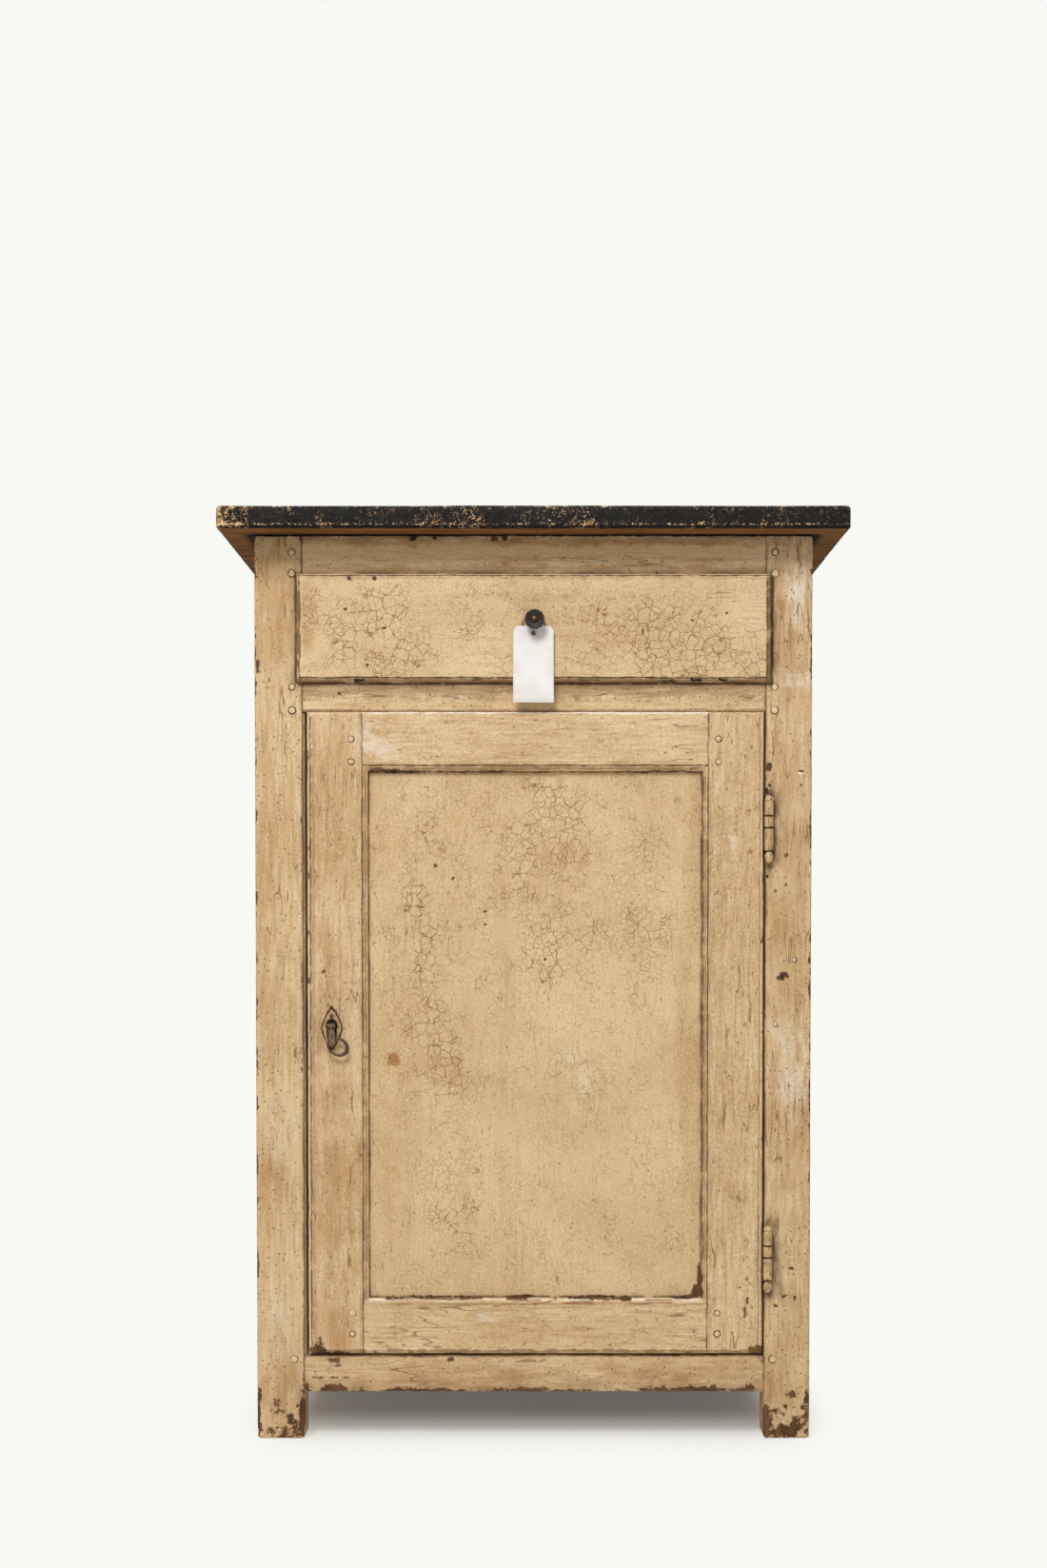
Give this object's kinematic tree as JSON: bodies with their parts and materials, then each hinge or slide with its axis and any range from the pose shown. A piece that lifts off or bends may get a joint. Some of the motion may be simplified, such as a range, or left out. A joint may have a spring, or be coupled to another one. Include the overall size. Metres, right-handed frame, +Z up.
{
  "type": "single-door cupboard with drawer",
  "caption": "Small country cupboard: overhanging dark top, lipped drawer with a round knob over a framed panel door with pin hinges, lock and folding key, on square post feet.",
  "frame": {"origin": "on the floor, under the middle of the overhanging top", "axes": "+Z up, the front with door and drawer faces -Y, +X to the right seen from the front"},
  "size_m": [0.67, 0.44, 1],
  "materials": {
    "cream_painted_wood": "buff oil paint over pine, crackled and chipped, with brown grime in the joints",
    "black_painted_wood": "worn black paint, tan wood showing at the edges",
    "bare_wood": "unfinished aged pine",
    "painted_iron": "iron painted over with the frame, chipped on the rounds",
    "dark_iron": "dark brown patina",
    "dark_knob": "turned, almost black, satin",
    "worn_brass": "dark tarnished",
    "white_card": "matte blank card",
    "brown_twine": "twisted twine"
  },
  "bodies": {
    "carcass": {"back_board_left": "bare_wood", "back_board_middle": "bare_wood", "back_board_right": "bare_wood", "back_nails": "dark_iron", "back_rail_bottom": "bare_wood", "back_rail_top": "bare_wood", "door_stop_strip": "cream_painted_wood", "drawer_kickers": "bare_wood", "drawer_runner_left": "bare_wood", "drawer_runner_right": "bare_wood", "floor_board": "bare_wood", "frame_pegs": "cream_painted_wood", "hinge_nails_frame": "painted_iron", "lower_hinge_frame_leaf": "painted_iron", "lower_hinge_pin": "painted_iron", "post_back_left": "cream_painted_wood", "post_back_right": "cream_painted_wood", "post_front_left": "cream_painted_wood", "post_front_right": "cream_painted_wood", "rail_front_bottom": "cream_painted_wood", "rail_front_middle": "cream_painted_wood", "rail_front_top": "cream_painted_wood", "shelf_board": "bare_wood", "shelf_cleats": "bare_wood", "side_panel_left": "cream_painted_wood", "side_panel_right": "cream_painted_wood", "side_rail_bottom_left": "cream_painted_wood", "side_rail_bottom_right": "cream_painted_wood", "side_rail_top_left": "cream_painted_wood", "side_rail_top_right": "cream_painted_wood", "top_board_back": "black_painted_wood", "top_board_front": "black_painted_wood", "top_dowels": "bare_wood", "upper_hinge_frame_leaf": "painted_iron", "upper_hinge_pin": "painted_iron"},
    "door": {"door_panel": "cream_painted_wood", "door_pegs": "cream_painted_wood", "door_rail_bottom": "cream_painted_wood", "door_rail_top": "cream_painted_wood", "door_stile_left": "cream_painted_wood", "door_stile_right": "cream_painted_wood", "escutcheon": "painted_iron", "escutcheon_pin": "painted_iron", "hinge_nails_door": "painted_iron", "lock_cap": "dark_iron", "lock_case": "dark_iron", "lower_hinge_door_leaf": "painted_iron", "upper_hinge_door_leaf": "painted_iron"},
    "bolt": {"lock_bolt": "dark_iron"},
    "key": {"key_shank": "dark_iron"},
    "key_bow": {"key_bow": "dark_iron"},
    "drawer": {"drawer_back": "bare_wood", "drawer_bottom": "bare_wood", "drawer_front": "cream_painted_wood", "drawer_knob": "dark_knob", "drawer_side_left": "bare_wood", "drawer_side_right": "bare_wood", "knob_bolt": "worn_brass"},
    "tag": {"paper_tag": "white_card", "tag_string": "brown_twine"}
  },
  "joints": [
    {"name": "door_swing", "type": "hinge", "parent": "carcass", "child": "door", "pos_m": [0.2535, -0.1771, 0.43], "axis": [0, 0, 1], "range_deg": [0, 170]},
    {"name": "drawer_slide", "type": "slide", "parent": "carcass", "child": "drawer", "axis": [0, -1, 0], "range_m": [0, 0.27]},
    {"name": "key_turn", "type": "hinge", "parent": "door", "child": "key", "pos_m": [-0.2175, -0.17, 0.449], "axis": [0, 1, 0], "range_deg": [0, 180]},
    {"name": "bolt_slide", "type": "slide", "parent": "door", "child": "bolt", "axis": [-1, 0, 0], "range_m": [0, 0.008]},
    {"name": "bow_fold", "type": "hinge", "parent": "key", "child": "key_bow", "pos_m": [-0.2175, -0.1842, 0.449], "axis": [-1, 0, 0], "range_deg": [0, 90]},
    {"name": "tag_swing", "type": "hinge", "parent": "drawer", "child": "tag", "pos_m": [0.0013, -0.1849, 0.882], "axis": [0, 1, 0], "range_deg": [-40, 40]}
  ],
  "couplings": [
    {"joint": "bolt_slide", "follows": "key_turn", "m_per_rad": 0.0025465}
  ]
}
